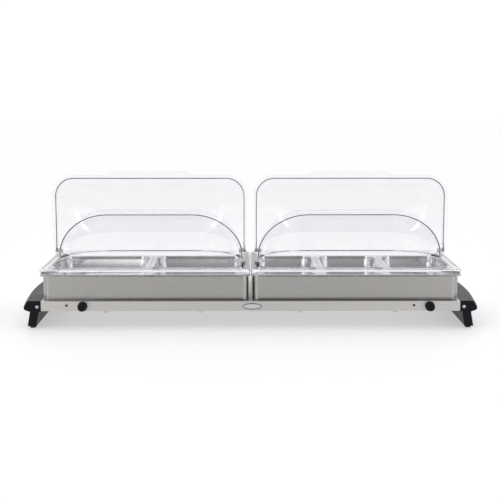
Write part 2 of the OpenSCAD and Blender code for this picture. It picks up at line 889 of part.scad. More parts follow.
module lid_shell_left() { on_frame(left) lid_shell(); }
module lid_shell_right() { on_frame(right) lid_shell(); }
module pivot_pins_left() { on_frame(left) pivot_pins(); }
module pivot_pins_right() { on_frame(right) pivot_pins(); }
module pivot_caps_left() { on_frame(left) pivot_caps(); }
module pivot_caps_right() { on_frame(right) pivot_caps(); }

tray_top();
tray_bottom();
bottom_screws();
heater_left();
heater_right();
heater_straps_left();
heater_straps_right();
insulation_left();
insulation_right();
thermostat_left();
thermostat_right();
thermostat_nut_left();
thermostat_nut_right();
knob_shaft_left();
knob_shaft_right();
knob_left();
knob_right();
lamp_lens_left();
lamp_lens_right();
lamp_body_left();
lamp_body_right();
badge_plate();
inlet_housing();
inlet_pins();
inlet_screws();
terminal_block();
wiring_supply();
wiring_left();
wiring_right();
handle_left();
handle_right();
handle_screws();
leg_left();
leg_right();
leg_screws();
foot_front_left();
foot_front_right();
foot_rear_left();
foot_rear_right();
pan_frame_left();
pan_frame_right();
half_pan_1();
half_pan_2();
third_pan_1();
third_pan_2();
third_pan_3();
lid_base_left();
lid_base_right();
lid_shell_left();
lid_shell_right();
pivot_pins_left();
pivot_pins_right();
pivot_caps_left();
pivot_caps_right();
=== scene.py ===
import math

import bmesh
import bpy
from mathutils import Matrix, Vector


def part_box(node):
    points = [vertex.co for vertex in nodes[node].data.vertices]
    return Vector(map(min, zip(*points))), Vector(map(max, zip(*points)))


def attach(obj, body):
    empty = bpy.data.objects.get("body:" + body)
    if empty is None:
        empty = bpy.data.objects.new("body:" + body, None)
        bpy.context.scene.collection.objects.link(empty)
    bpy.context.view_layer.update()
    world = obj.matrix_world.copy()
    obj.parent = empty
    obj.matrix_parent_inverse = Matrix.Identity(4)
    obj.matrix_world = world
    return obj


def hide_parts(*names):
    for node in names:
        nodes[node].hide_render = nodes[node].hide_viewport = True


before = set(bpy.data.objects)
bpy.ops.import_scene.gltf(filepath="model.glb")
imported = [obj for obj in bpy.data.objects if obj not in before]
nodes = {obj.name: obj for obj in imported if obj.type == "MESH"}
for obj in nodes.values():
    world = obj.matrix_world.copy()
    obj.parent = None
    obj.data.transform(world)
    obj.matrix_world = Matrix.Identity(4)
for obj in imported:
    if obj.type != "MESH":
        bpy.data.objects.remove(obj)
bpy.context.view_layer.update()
print("frame loaded")

mm = 0.001


# meshes
def pieceFrom(name, bm, smooth=True, materials=()):
    mesh = bpy.data.meshes.new(name)
    bm.to_mesh(mesh)
    bm.free()
    piece = bpy.data.objects.new(name, mesh)
    bpy.context.scene.collection.objects.link(piece)
    for material in materials:
        mesh.materials.append(material)
    if smooth:
        mesh.shade_smooth()
    return piece


def loft(rings, closedRings=True, closedLoop=False, capEnds=False):
    bm = bmesh.new()
    rows = [[bm.verts.new(p) for p in ring] for ring in rings]
    count = len(rings[0])
    span = count if closedRings else count - 1
    pairs = list(zip(rows, rows[1:])) + ([(rows[-1], rows[0])] if closedLoop else [])
    for low, high in pairs:
        for i in range(span):
            j = (i + 1) % count
            bm.faces.new((low[i], low[j], high[j], high[i]))
    if capEnds:
        bm.faces.new(list(reversed(rows[0])))
        bm.faces.new(rows[-1])
    return bm


def outwards(bm):
    bmesh.ops.remove_doubles(bm, verts=bm.verts, dist=1e-6)
    bmesh.ops.recalc_face_normals(bm, faces=bm.faces)
    return bm


def roundedRing(halfX, halfY, radius, z, centre, steps=7):
    points = []
    for cornerX, cornerY, start in ((1, 1, 0), (-1, 1, 90), (-1, -1, 180), (1, -1, 270)):
        for k in range(steps + 1):
            a = math.radians(start + 90 * k / steps)
            points.append(Vector((centre[0] + cornerX * (halfX - radius) + radius * math.cos(a),
                                  centre[1] + cornerY * (halfY - radius) + radius * math.sin(a), z)))
    return points


def settled(piece):
    depsgraph = bpy.context.evaluated_depsgraph_get()
    mesh = bpy.data.meshes.new_from_object(piece.evaluated_get(depsgraph), depsgraph=depsgraph)
    piece.modifiers.clear()
    piece.data = mesh
    return piece


def softened(name, node, width, segments, material, angle=35):
    bm = bmesh.new()
    bm.from_mesh(nodes[node].data)
    bmesh.ops.remove_doubles(bm, verts=bm.verts, dist=2e-6)
    bmesh.ops.dissolve_limit(bm, angle_limit=math.radians(0.6), verts=bm.verts, edges=bm.edges)
    piece = pieceFrom(name, bm, smooth=False)
    bevel = piece.modifiers.new("edges", "BEVEL")
    bevel.width = width
    bevel.segments = segments
    bevel.limit_method = "ANGLE"
    bevel.angle_limit = math.radians(angle)
    settled(piece)
    piece.data.materials.clear()
    piece.data.materials.append(material)
    piece.data.shade_smooth()
    piece.data.set_sharp_from_angle(angle=math.radians(32))
    weighted = piece.modifiers.new("normals", "WEIGHTED_NORMAL")  # keeps the broad faces flat
    weighted.keep_sharp = True
    return settled(piece)


def finished(piece, body, slot, *replaced):
    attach(piece, body)
    if replaced:
        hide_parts(*replaced)
    return piece


# materials
def newMaterial(name):
    material = bpy.data.materials.new(name)
    material.use_nodes = True
    tree = material.node_tree
    return material, tree, tree.nodes["Principled BSDF"]


def objectSpace(tree, scale, turn=(0, 0, 0)):
    coords = tree.nodes.new("ShaderNodeTexCoord")
    mapping = tree.nodes.new("ShaderNodeMapping")
    mapping.inputs["Scale"].default_value = scale
    mapping.inputs["Rotation"].default_value = turn
    tree.links.new(coords.outputs["Object"], mapping.inputs["Vector"])
    return mapping.outputs["Vector"]


def noise(tree, vector, scale, detail=4, rough=0.6):
    node = tree.nodes.new("ShaderNodeTexNoise")
    node.inputs["Scale"].default_value = scale
    node.inputs["Detail"].default_value = detail
    node.inputs["Roughness"].default_value = rough
    tree.links.new(vector, node.inputs["Vector"])
    return node.outputs["Fac"]


def spread(tree, value, low, high):
    node = tree.nodes.new("ShaderNodeMapRange")
    node.inputs["From Min"].default_value = 0.25
    node.inputs["From Max"].default_value = 0.75
    node.inputs["To Min"].default_value = low
    node.inputs["To Max"].default_value = high
    tree.links.new(value, node.inputs["Value"])
    return node.outputs["Result"]


def blendColours(tree, value, first, second):
    node = tree.nodes.new("ShaderNodeMix")
    node.data_type = "RGBA"
    node.inputs["A"].default_value = (*first, 1)
    node.inputs["B"].default_value = (*second, 1)
    tree.links.new(value, node.inputs["Factor"])
    return node.outputs["Result"]


def bumped(tree, shader, value, strength, distance):
    node = tree.nodes.new("ShaderNodeBump")
    node.inputs["Strength"].default_value = strength
    node.inputs["Distance"].default_value = distance
    tree.links.new(value, node.inputs["Height"])
    tree.links.new(node.outputs["Normal"], shader.inputs["Normal"])


def brushedSteel(name, colour, rough, grain=(6, 900, 900), wear=0.04):
    material, tree, shader = newMaterial(name)
    shader.inputs["Metallic"].default_value = 1
    lines = noise(tree, objectSpace(tree, grain), 1, 3)
    clouds = noise(tree, objectSpace(tree, (7, 7, 7)), 1.3, 5)
    dark = tuple(c * (1 - wear) for c in colour)
    tint = blendColours(tree, spread(tree, clouds, 0, 1), dark, colour)
    tree.links.new(tint, shader.inputs["Base Color"])
    mixed = tree.nodes.new("ShaderNodeMath")
    mixed.operation = "ADD"
    tree.links.new(spread(tree, lines, -0.07, 0.07), mixed.inputs[0])
    tree.links.new(spread(tree, clouds, rough - 0.03, rough + 0.05), mixed.inputs[1])
    tree.links.new(mixed.outputs[0], shader.inputs["Roughness"])
    bumped(tree, shader, lines, 0.12, 0.00008)
    return material


def mouldedPlastic(name, colour, rough, grainSize=1400, depth=0.00005, shine=0.5):
    material, tree, shader = newMaterial(name)
    shader.inputs["Specular IOR Level"].default_value = shine
    grain = noise(tree, objectSpace(tree, (1, 1, 1)), grainSize, 2)
    clouds = noise(tree, objectSpace(tree, (1, 1, 1)), 22, 4)
    lighter = tuple(min(1, c * 1.3 + 0.001) for c in colour)
    tint = blendColours(tree, spread(tree, clouds, 0, 1), colour, lighter)
    tree.links.new(tint, shader.inputs["Base Color"])
    tree.links.new(spread(tree, clouds, rough - 0.05, rough + 0.06), shader.inputs["Roughness"])
    bumped(tree, shader, grain, 0.25, depth)
    return material


def clearSheet(name, tint, rough):
    material, tree, shader = newMaterial(name)
    shader.inputs["Base Color"].default_value = (*tint, 1)
    shader.inputs["Transmission Weight"].default_value = 1
    shader.inputs["IOR"].default_value = 1.45
    smears = noise(tree, objectSpace(tree, (1, 1, 1)), 9, 5)
    tree.links.new(spread(tree, smears, max(0, rough - 0.01), rough + 0.03), shader.inputs["Roughness"])
    path = tree.nodes.new("ShaderNodeLightPath")
    lamps = tree.nodes.new("ShaderNodeBsdfTransparent")
    lamps.inputs["Color"].default_value = (0.93, 0.93, 0.95, 1)
    mix = tree.nodes.new("ShaderNodeMixShader")
    tree.links.new(path.outputs["Is Shadow Ray"], mix.inputs["Fac"])
    tree.links.new(shader.outputs["BSDF"], mix.inputs[1])
    tree.links.new(lamps.outputs["BSDF"], mix.inputs[2])
    tree.links.new(mix.outputs["Shader"], tree.nodes["Material Output"].inputs["Surface"])
    return material


traySteel = brushedSteel("traySteel", (0.58, 0.565, 0.55), 0.34)
frameSteel = brushedSteel("frameSteel", (0.39, 0.38, 0.37), 0.26)
panSteel = brushedSteel("panSteel", (0.66, 0.66, 0.67), 0.24)
galvanised = brushedSteel("galvanised", (0.52, 0.53, 0.55), 0.45, grain=(30, 30, 30), wear=0.22)
zinc = brushedSteel("zinc", (0.66, 0.66, 0.68), 0.28, grain=(300, 300, 300))
darkSheath = brushedSteel("darkSheath", (0.20, 0.18, 0.16), 0.5, grain=(90, 90, 90), wear=0.4)
bladeBrass = brushedSteel("bladeBrass", (0.74, 0.60, 0.32), 0.3, grain=(200, 200, 200))
badgeMetal = brushedSteel("badgeMetal", (0.62, 0.62, 0.63), 0.3, grain=(900, 900, 12))
badgeInk = mouldedPlastic("badgeInk", (0.02, 0.02, 0.03), 0.4)
endBlack = mouldedPlastic("endBlack", (0.003, 0.0038, 0.007), 0.4, shine=0.14)
knobBlack = mouldedPlastic("knobBlack", (0.004, 0.004, 0.0045), 0.46, shine=0.12)
footRubber = mouldedPlastic("footRubber", (0.022, 0.022, 0.022), 0.75, 500, 0.0001)
thermostatBlack = mouldedPlastic("thermostatBlack", (0.04, 0.04, 0.045), 0.5)
creamCeramic = mouldedPlastic("creamCeramic", (0.74, 0.71, 0.64), 0.45, 700)
inletBlack = mouldedPlastic("inletBlack", (0.014, 0.014, 0.015), 0.4)
glassWool = mouldedPlastic("glassWool", (0.74, 0.68, 0.46), 0.95, 260, 0.0012)
supplyWire = mouldedPlastic("supplyWire", (0.10, 0.10, 0.12), 0.4)
redWire = mouldedPlastic("redWire", (0.32, 0.03, 0.025), 0.4)
blueWire = mouldedPlastic("blueWire", (0.03, 0.06, 0.26), 0.4)
capGrey = mouldedPlastic("capGrey", (0.40, 0.39, 0.43), 0.3)
lampRed = mouldedPlastic("lampRed", (0.10, 0.004, 0.006), 0.18, 300, 0.00002)
clearLid = clearSheet("clearLid", (0.95, 0.95, 0.972), 0.02)
# near-black tint for the lids' cut edges: painted shade standing in for the dark outline seen along a clear
# sheet's edges
paintedEdgeShade = clearSheet("paintedEdgeShade", (0.012, 0.009, 0.010), 0.25)
print("materials made")


# camera, lights and floor
view = {"place": (-0.0186, -3.136, 0.644), "pitch": 8.479, "yaw": -0.326, "lens": 84.2}
camera = bpy.data.objects.new("camera", bpy.data.cameras.new("camera"))
bpy.context.scene.collection.objects.link(camera)
camera.data.lens = view["lens"]
camera.data.sensor_width = 36
camera.location = view["place"]
camera.rotation_euler = (math.radians(90 - view["pitch"]), 0, math.radians(view["yaw"]))
bpy.context.scene.camera = camera
bpy.context.scene.view_settings.view_transform = "Standard"

studio = {"front": 0.16, "back": 1.01, "sides": 0.7, "above": 0.35, "key": 12, "fill": 6, "strips": 14,
          "floor": (0.47, 0.47, 0.47), "floorCloud": (0.49, 0.49, 0.49), "floorGlow": 0.455}


def studioWorld():
    world = bpy.data.worlds.new("studio")
    world.use_nodes = True
    tree = world.node_tree
    coords = tree.nodes.new("ShaderNodeTexCoord")
    parts = tree.nodes.new("ShaderNodeSeparateXYZ")
    tree.links.new(coords.outputs["Generated"], parts.inputs[0])

    def maths(kind, first, second):
        node = tree.nodes.new("ShaderNodeMath")
        node.operation = kind
        for slot, value in enumerate((first, second)):
            if isinstance(value, (int, float)):
                node.inputs[slot].default_value = value
            else:
                tree.links.new(value, node.inputs[slot])
        return node.outputs[0]

    depth = tree.nodes.new("ShaderNodeMapRange")
    limits = {"From Min": -0.35, "From Max": 0.45, "To Min": studio["front"], "To Max": studio["back"]}
    for name, value in limits.items():
        depth.inputs[name].default_value = value
    tree.links.new(parts.outputs["Y"], depth.inputs["Value"])
    sides = maths("MULTIPLY", maths("POWER", maths("ABSOLUTE", parts.outputs["X"], 0), 3), studio["sides"])
    above = maths("MULTIPLY", maths("MAXIMUM", parts.outputs["Z"], 0), studio["above"])
    tree.links.new(maths("ADD", maths("ADD", depth.outputs["Result"], sides), above),
                   tree.nodes["Background"].inputs["Strength"])
    tree.nodes["Background"].inputs["Color"].default_value = (1, 1, 1, 1)
    bpy.context.scene.world = world


studioWorld()


def softBox(name, place, aim, size, power):
    lamp = bpy.data.lights.new(name, "AREA")
    lamp.shape = "RECTANGLE"
    lamp.size, lamp.size_y = size
    lamp.energy = power
    holder = bpy.data.objects.new(name, lamp)
    bpy.context.scene.collection.objects.link(holder)
    holder.location = place
    holder.rotation_euler = (Vector(aim) - Vector(place)).to_track_quat("-Z", "Y").to_euler()


softBox("keyLight", (-1.6, -1.8, 2.4), (0, 0, 0.15), (2.0, 1.2), studio["key"])
softBox("fillLight", (2.0, -1.4, 1.8), (0, 0, 0.15), (1.6, 1.2), studio["fill"])
softBox("leftStrip", (-2.1, -2.6, 0.45), (-0.3, 0, 0.1), (0.45, 1.5), studio["strips"])
softBox("rightStrip", (2.1, -2.6, 0.45), (0.3, 0, 0.1), (0.45, 1.5), studio["strips"])

bm = bmesh.new()
bmesh.ops.create_grid(bm, x_segments=2, y_segments=2, size=12)
floorMaterial, floorTree, floorShader = newMaterial("paleFloor")
floorShader.inputs["Roughness"].default_value = 0.6
floorShader.inputs["Emission Color"].default_value = (1, 1, 1, 1)
floorShader.inputs["Emission Strength"].default_value = studio["floorGlow"]
floorClouds = noise(floorTree, objectSpace(floorTree, (1, 1, 1)), 1.5)
floorTint = blendColours(floorTree, floorClouds, studio["floor"], studio["floorCloud"])
floorTree.links.new(floorTint, floorShader.inputs["Base Color"])
pieceFrom("floor", bm, False, [floorMaterial])
print("camera and light set")


# tray, end pieces and controls
edgeWidths = {"handle": 1.4 * mm, "leg": 1.2 * mm, "foot": 0.8 * mm, "tray": 0.5 * mm, "badge": 0.4 * mm,
              "inlet": 0.5 * mm}


def trayPiece(name, node, segments, material, slot, angle=35):
    width = edgeWidths[node.split("_")[0]]
    finished(softened(f"{name}_piece", node, width, segments, material, angle), "tray", slot, node)


for side in ("left", "right"):
    for node in (f"handle_{side}", f"leg_{side}"):
        trayPiece(node, node, 3, endBlack, "end_piece")
    for end in ("front", "rear"):
        node = f"foot_{end}_{side}"
        trayPiece(node, node, 2, footRubber, "foot")
trayPiece("tray_top", "tray_top", 2, traySteel, "tray_steel", 60)

badgeShape = {"line": 1.9 * mm, "inset": 0.5 * mm, "raise": 0.1 * mm, "sunk": 0.2 * mm, "steps": 96}


def badgeLine():
    low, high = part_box("badge_plate")
    centre = ((low[0] + high[0]) / 2, (low[2] + high[2]) / 2)
    half = ((high[0] - low[0]) / 2, (high[2] - low[2]) / 2)
    line, lift, sunk, steps = (badgeShape[key] for key in ("line", "raise", "sunk", "steps"))
    rings = []
    for inset, out in ((0, -sunk), (0, lift), (line, lift), (line, -sunk)):
        inset += badgeShape["inset"]
        rings.append([(centre[0] + (half[0] - inset) * math.cos(2 * math.pi * k / steps), low[1] - out,
                       centre[1] + (half[1] - inset) * math.sin(2 * math.pi * k / steps))
                      for k in range(steps)])
    piece = pieceFrom("badge_line", outwards(loft(rings, closedLoop=True)), True, [badgeInk])
    piece.data.set_sharp_from_angle(angle=math.radians(40))
    return piece


trayPiece("badge", "badge_plate", 3, badgeMetal, "badge", 60)
finished(badgeLine(), "tray", "badge")
trayPiece("inlet", "inlet_housing", 2, inletBlack, "inlet", 60)
print("tray and end pieces made")

knobShape = {"ribs": 30, "ribDepth": 0.35 * mm, "edge": 0.8 * mm, "bore": 3.2 * mm, "recess": 8.2 * mm,
             "skirt": 5 * mm, "grip": 1.6 * mm}


def knobPiece(side):
    low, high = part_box(f"knob_{side}")
    centre = ((low[0] + high[0]) / 2, (low[2] + high[2]) / 2)
    radius = (high[0] - low[0]) / 2
    reach = high[1] - low[1]
    ribs = knobShape["ribs"]
    steps = ribs * 6

    def ring(r, depth, ribbed):
        points = []
        for k in range(steps):
            a = 2 * math.pi * k / steps
            out = r - (knobShape["ribDepth"] * (0.5 - 0.5 * math.cos(ribs * a)) if ribbed else 0)
            points.append((centre[0] + out * math.cos(a), high[1] - depth, centre[1] + out * math.sin(a)))
        return points

    edge, skirt, recess = knobShape["edge"], knobShape["skirt"], knobShape["recess"]
    grip = radius - knobShape["grip"]
    base = [(knobShape["bore"], skirt), (recess, skirt), (recess, 0.2 * mm), (recess + 0.6 * mm, 0),
            (radius - edge, 0), (radius - 0.2 * mm, 0.2 * mm), (radius, edge), (radius, skirt),
            (radius - 0.5 * mm, skirt + 0.6 * mm), (grip, skirt + 1.2 * mm)]
    sides = [(grip, skirt + 2 * mm), (radius - 1.9 * mm, reach - 3 * mm)]
    crown = [(radius - 2.2 * mm, reach - 1.4 * mm), (radius - 2.9 * mm, reach - 0.5 * mm),
             (radius - 4.2 * mm, reach), (radius - 6 * mm, reach - 0.4 * mm), (1 * mm, reach - 0.7 * mm)]
    rings = [ring(r, depth, False) for r, depth in base]
    rings += [ring(r, depth, True) for r, depth in sides]
    rings += [ring(r, depth, False) for r, depth in crown]
    bm = loft(rings, capEnds=True)
    piece = pieceFrom(f"knob_{side}_piece", outwards(bm), True, [knobBlack])
    piece.data.set_sharp_from_angle(angle=math.radians(40))
    return piece


for side in ("left", "right"):
    finished(knobPiece(side), f"knob_{side}", "knob", f"knob_{side}")
print("knobs made")

plainNodes = {"tray_bottom": galvanised, "heater": darkSheath, "heater_straps": zinc, "insulation": glassWool,
              "thermostat": thermostatBlack, "thermostat_nut": zinc, "knob_shaft": zinc, "lamp_lens": lampRed,
              "lamp_body": creamCeramic, "inlet_pins": bladeBrass, "terminal_block": creamCeramic,
              "wiring_supply": supplyWire, "wiring_left": redWire, "wiring_right": blueWire,
              "pivot_pins": zinc, "pivot_caps": capGrey}
for name, node in nodes.items():
    key = name if name in plainNodes else name.rsplit("_", 1)[0]
    if key in plainNodes:
        node.data.materials.clear()
        node.data.materials.append(plainNodes[key])
        node.data.shade_smooth()
        node.data.set_sharp_from_angle(angle=math.radians(32))


# screws with crossed recesses, set out by geometry nodes
screwShape = {"recessLength": 1.15, "recessWidth": 0.24, "recessDepth": 0.7, "seed": 7}


def screwNodes():
    tree = bpy.data.node_groups.new("crossScrews", "GeometryNodeTree")
    tree.interface.new_socket("Places", in_out="INPUT", socket_type="NodeSocketGeometry")
    for name, kind in (("Head radius", "Float"), ("Head height", "Float"), ("Shank radius", "Float"),
                       ("Shank length", "Float"), ("Direction", "Vector"), ("Material", "Material")):
        tree.interface.new_socket(name, in_out="INPUT", socket_type=f"NodeSocket{kind}")
    tree.interface.new_socket("Screws", in_out="OUTPUT", socket_type="NodeSocketGeometry")
    given = tree.nodes.new("NodeGroupInput").outputs

    def add(kind, values, **settings):
        node = tree.nodes.new(kind)
        for key, value in settings.items():
            setattr(node, key, value)
        for key, value in values.items():
            if isinstance(value, bpy.types.NodeSocket):
                tree.links.new(value, node.inputs[key])
            else:
                node.inputs[key].default_value = value
        return node.outputs

    def times(value, factor):
        return add("ShaderNodeMath", {0: value, 1: factor}, operation="MULTIPLY")[0]

    def vector(x, y, z):
        return add("ShaderNodeCombineXYZ", {"X": x, "Y": y, "Z": z})[0]

    radius, height, reach = given["Head radius"], given["Head height"], given["Shank length"]
    ball = add("GeometryNodeMeshUVSphere", {"Segments": 32, "Rings": 16, "Radius": 1.0})["Mesh"]
    head = add("GeometryNodeTransform", {"Geometry": ball, "Scale": vector(radius, radius, height)})[0]
    slots = []
    for turn in (0, math.pi / 2):
        size = vector(times(radius, screwShape["recessLength"]), times(radius, screwShape["recessWidth"]),
                      times(height, 2 * screwShape["recessDepth"]))
        bar = add("GeometryNodeMeshCube", {"Size": size})["Mesh"]
        raised = {"Geometry": bar, "Translation": vector(0.0, 0.0, height), "Rotation": (0, 0, turn)}
        slots.append(add("GeometryNodeTransform", raised)[0])
    for slot in slots:
        cut = add("GeometryNodeMeshBoolean", {"Mesh 1": head, "Mesh 2": slot}, operation="DIFFERENCE")
        head = cut["Mesh"]
    rod = add("GeometryNodeMeshCylinder", {"Vertices": 20, "Radius": given["Shank radius"], "Depth": reach})
    lowered = {"Geometry": rod["Mesh"], "Translation": vector(0.0, 0.0, times(reach, -0.5))}
    shank = add("GeometryNodeTransform", lowered)[0]
    joined = tree.nodes.new("GeometryNodeJoinGeometry")
    for part in (head, shank):
        tree.links.new(part, joined.inputs[0])
    seed = {2: 0.0, 3: math.pi / 2, "Seed": screwShape["seed"]}
    spin = add("FunctionNodeRandomValue", seed, data_type="FLOAT")[1]
    about = add("FunctionNodeAxisAngleToRotation", {"Axis": (0, 0, 1), "Angle": spin})[0]
    facing = add("FunctionNodeAlignRotationToVector", {"Vector": given["Direction"]}, axis="Z")[0]
    both = {"Rotation": facing, "Rotate By": about}
    turned = add("FunctionNodeRotateRotation", both, rotation_space="LOCAL")[0]
    spots = {"Points": given["Places"], "Instance": joined.outputs[0], "Rotation": turned}
    placed = add("GeometryNodeInstanceOnPoints", spots)[0]
    solid = add("GeometryNodeRealizeInstances", {"Geometry": placed})[0]
    coated = add("GeometryNodeSetMaterial", {"Geometry": solid, "Material": given["Material"]})[0]
    tree.links.new(coated, tree.nodes.new("NodeGroupOutput").inputs[0])
    return tree


def islands(node):  # every separate screw's points
    bm = bmesh.new()
    bm.from_mesh(nodes[node].data)
    bmesh.ops.remove_doubles(bm, verts=bm.verts, dist=1e-6)
    left, groups = set(bm.verts), []
    while left:
        queue, group = [left.pop()], []
        while queue:
            vert = queue.pop()
            group.append(vert.co.copy())
            for edge in vert.link_edges:
                other = edge.other_vert(vert)
                if other in left:
                    left.remove(other)
                    queue.append(other)
        groups.append(group)
    bm.free()
    return groups


def screwSets(node):
    sets = {}
    for points in islands(node):
        low = Vector([min(p[i] for p in points) for i in range(3)])
        high = Vector([max(p[i] for p in points) for i in range(3)])
        axis = max(range(3), key=lambda i: high[i] - low[i])
        middle = (low + high) / 2

        def out(p):
            return math.hypot(*[p[i] - middle[i] for i in range(3) if i != axis])

        radius = max(out(p) for p in points)
        head = [p[axis] for p in points if out(p) > radius * 0.9]
        sign = 1 if sum(head) / len(head) > middle[axis] else -1
        tip = high[axis] if sign > 0 else low[axis]
        seat = middle.copy()
        seat[axis] = min(head) if sign > 0 else max(head)
        shank = min(out(p) for p in points if out(p) > 0.2 * mm)
        headHeight = abs(tip - seat[axis])
        length = (high[axis] - low[axis]) - headHeight
        made = {"places": [], "values": (radius, headHeight, shank, length)}
        sets.setdefault((axis, sign), made)["places"].append(seat)
    return sets


screwTree = screwNodes()
for node in ("bottom_screws", "leg_screws", "handle_screws", "inlet_screws"):
    for (axis, sign), group in screwSets(node).items():
        bm = bmesh.new()
        for place in group["places"]:
            bm.verts.new(place)
        piece = pieceFrom(f"{node}_{'xyz'[axis]}{'p' if sign > 0 else 'm'}", bm, False)
        modifier = piece.modifiers.new("screws", "NODES")
        modifier.node_group = screwTree
        direction = Vector((0, 0, 0))
        direction[axis] = sign
        values = dict(zip(("Head radius", "Head height", "Shank radius", "Shank length"), group["values"]))
        values |= {"Direction": direction, "Material": zinc}
        for socket in screwTree.interface.items_tree:
            if socket.name in values:
                modifier[socket.identifier] = values[socket.name]
        settled(piece)
        piece.data.shade_smooth()
        piece.data.set_sharp_from_angle(angle=math.radians(30))
        finished(piece, "tray", "zinc", node)
print("screws made")


# pan frames and pans
frameShape = {"sheet": 1.2 * mm, "corner": 16 * mm, "edge": 3 * mm, "taper": 1.6 * mm, "lip": 7 * mm,
              "hem": 3 * mm, "inset": 1 * mm, "wellX": 254 * mm, "wellY": 152 * mm, "wellCorner": 30 * mm,
              "fold": 2 * mm}
panShape = {"rim": 12 * mm, "corner": 28 * mm, "taper": 9 * mm, "fillet": 9 * mm, "sheet": 0.8 * mm,
            "step": 10 * mm, "flangeCorner": 10 * mm, "shoulder": 3 * mm, "roll": 2.5 * mm, "floor": 12 * mm}


def arcOf(centreA, centreB, radius, start, end, steps):
    angles = [math.radians(start + (end - start) * k / steps) for k in range(steps + 1)]
    return [(centreA + radius * math.cos(a), centreB + radius * math.sin(a)) for a in angles]


def framePiece(side):
    s = frameShape
    low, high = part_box(f"pan_frame_{side}")
    centre = ((low[0] + high[0]) / 2, (low[1] + high[1]) / 2)
    halfX, halfY = (high[0] - low[0]) / 2, (high[1] - low[1]) / 2
    base, top = low[2], high[2]
    t, e, hem, fold = s["sheet"], s["edge"], s["hem"], s["fold"]
    rings = []

    def outside(inset, z):
        corner = s["corner"] + s["inset"] - inset
        rings.append(roundedRing(halfX - inset, halfY - inset, corner, z, centre))

    def well(out, z):
        rings.append(roundedRing(s["wellX"] + out, s["wellY"] + out, s["wellCorner"] + out, z, centre))

    profile = [(1.9 * mm, 0), (0.3 * mm, 0.7 * mm), (0, 1.2 * mm), (0, hem - 0.8 * mm), (0.5 * mm, hem),
               (2.9 * mm, hem + 0.1 * mm), (2.9 * mm, hem + 1.2 * mm), (1.3 * mm, hem + 1.8 * mm),
               (s["inset"] + s["taper"] * 0.5, (top - base) * 0.5), (s["inset"], top - base - e - 1 * mm)]
    profile += [(s["inset"] + e - a, top - base - e + b) for a, b in arcOf(0, 0, e, 0, 90, 5)]
    for inset, z in profile:
        outside(inset, base + z)
    for a, b in arcOf(0, 0, fold, 90, 180, 4):  # into the well, folded down
        well(fold + a, top - fold + b)
    well(0, top - s["lip"])
    well(t, top - s["lip"])
    well(t, top - t)
    outside(s["inset"] + s["taper"] * 0.5 + t, top - t)
    outside(s["inset"] + s["taper"] + t, base)
    bm = loft(rings, closedLoop=True)
    piece = pieceFrom(f"pan_frame_{side}_piece", outwards(bm), True, [frameSteel])
    piece.data.set_sharp_from_angle(angle=math.radians(50))
    return piece


def panPiece(node):
    s = panShape
    low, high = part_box(node)
    centre = ((low[0] + high[0]) / 2, (low[1] + high[1]) / 2)
    halfX, halfY = (high[0] - low[0]) / 2, (high[1] - low[1]) / 2
    top, depth, t = high[2], high[2] - low[2], s["sheet"]
    rim, roll, flange = s["rim"], s["roll"], s["flangeCorner"]
    wall = depth - s["fillet"] - s["shoulder"]
    foot = -s["shoulder"] - wall
    bend = rim + s["taper"] + s["fillet"]
    inside = [(rim - roll + a, -roll + b) for a, b in arcOf(0, 0, roll, 90, 0, 4)]
    inside += [(rim + 0.4 * mm, -s["step"]), (rim + 2 * mm, -s["step"] - 1.6 * mm), (rim + s["taper"], foot)]
    inside += [(bend + a, foot + b) for a, b in arcOf(0, 0, s["fillet"], 180, 270, 6)[1:]]
    inside.append((bend + s["floor"], -depth + t))
    inside = [(a, max(b, -depth + t)) for a, b in inside]
    rings = []

    def corner(inset):
        return max(3 * mm, min(s["corner"], s["corner"] + s["rim"] - inset))

    def ring(inset, z, radius):
        rings.append(roundedRing(halfX - inset, halfY - inset, radius, top + z, centre, 8))

    for k in range(len(inside) - 1, -1, -1):  # outer skin from the bottom up
        inset, z = inside[k]
        ring(inset - t, z - t if k > 3 else z - t * 0.6, corner(inset) + t)
    ring(s["rim"] - 4 * mm, -t, flange + 6 * mm)
    ring(0.6 * mm, -t, flange)
    ring(0, -t * 0.6, flange)
    ring(0, -t * 0.3, flange)
    ring(0.5 * mm, 0, flange)
    ring(s["rim"] - 4 * mm, 0, flange + 6 * mm)
    for inset, z in inside:
        ring(inset, z, corner(inset))
    bm = loft(rings, capEnds=True)
    piece = pieceFrom(f"{node}_piece", outwards(bm), True, [panSteel])
    piece.data.set_sharp_from_angle(angle=math.radians(60))
    return piece


for side in ("left", "right"):
    finished(framePiece(side), f"frame_{side}", "frame_steel", f"pan_frame_{side}")
for node in ("half_pan_1", "half_pan_2", "third_pan_1", "third_pan_2", "third_pan_3"):
    finished(panPiece(node), node, "pan_steel", node)
print("frames and pans made")


# roll-top lids
lidShape = {"wall": 2.4 * mm, "movingRadius": 144.5 * mm, "fixedRadius": 139.5 * mm, "drop": 26 * mm,
            "half": 115 * mm, "fixedTilt": 22, "shellTilt": 18, "rimHalf": 258 * mm, "turns": 26,
            "pivotBack": 217.5 * mm, "pivotUp": 18 * mm, "front": 15.5 * mm, "corner": 50 * mm,
            "flange": 8 * mm, "bend": 2.2 * mm, "fade": 10 * mm, "upright": 11 * mm,
            "lip": 10 * mm, "lipHalf": 116.5 * mm, "lipEase": 17 * mm, "rimGap": 0.5 * mm,
            "bossIn": 252.8 * mm, "bossOut": 259.8 * mm, "bossRadius": 7 * mm,
            "skirt": 14 * mm, "hang": 4 * mm, "ledge": 25 * mm, "ledgeCorner": 19.6 * mm,
            "openingCorner": 34 * mm, "ringEdge": 2.5 * mm, "ringPoints": 360,
            "postSize": (4.4 * mm, 6 * mm, 23.2 * mm), "postX": 251.5 * mm, "postBack": 19 * mm,
            "postUp": 11 * mm}


def lidPlace(side):
    low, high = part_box(f"lid_base_{side}")
    return Vector(((low[0] + high[0]) / 2, low[1], low[2] + lidShape["skirt"] + lidShape["hang"]))


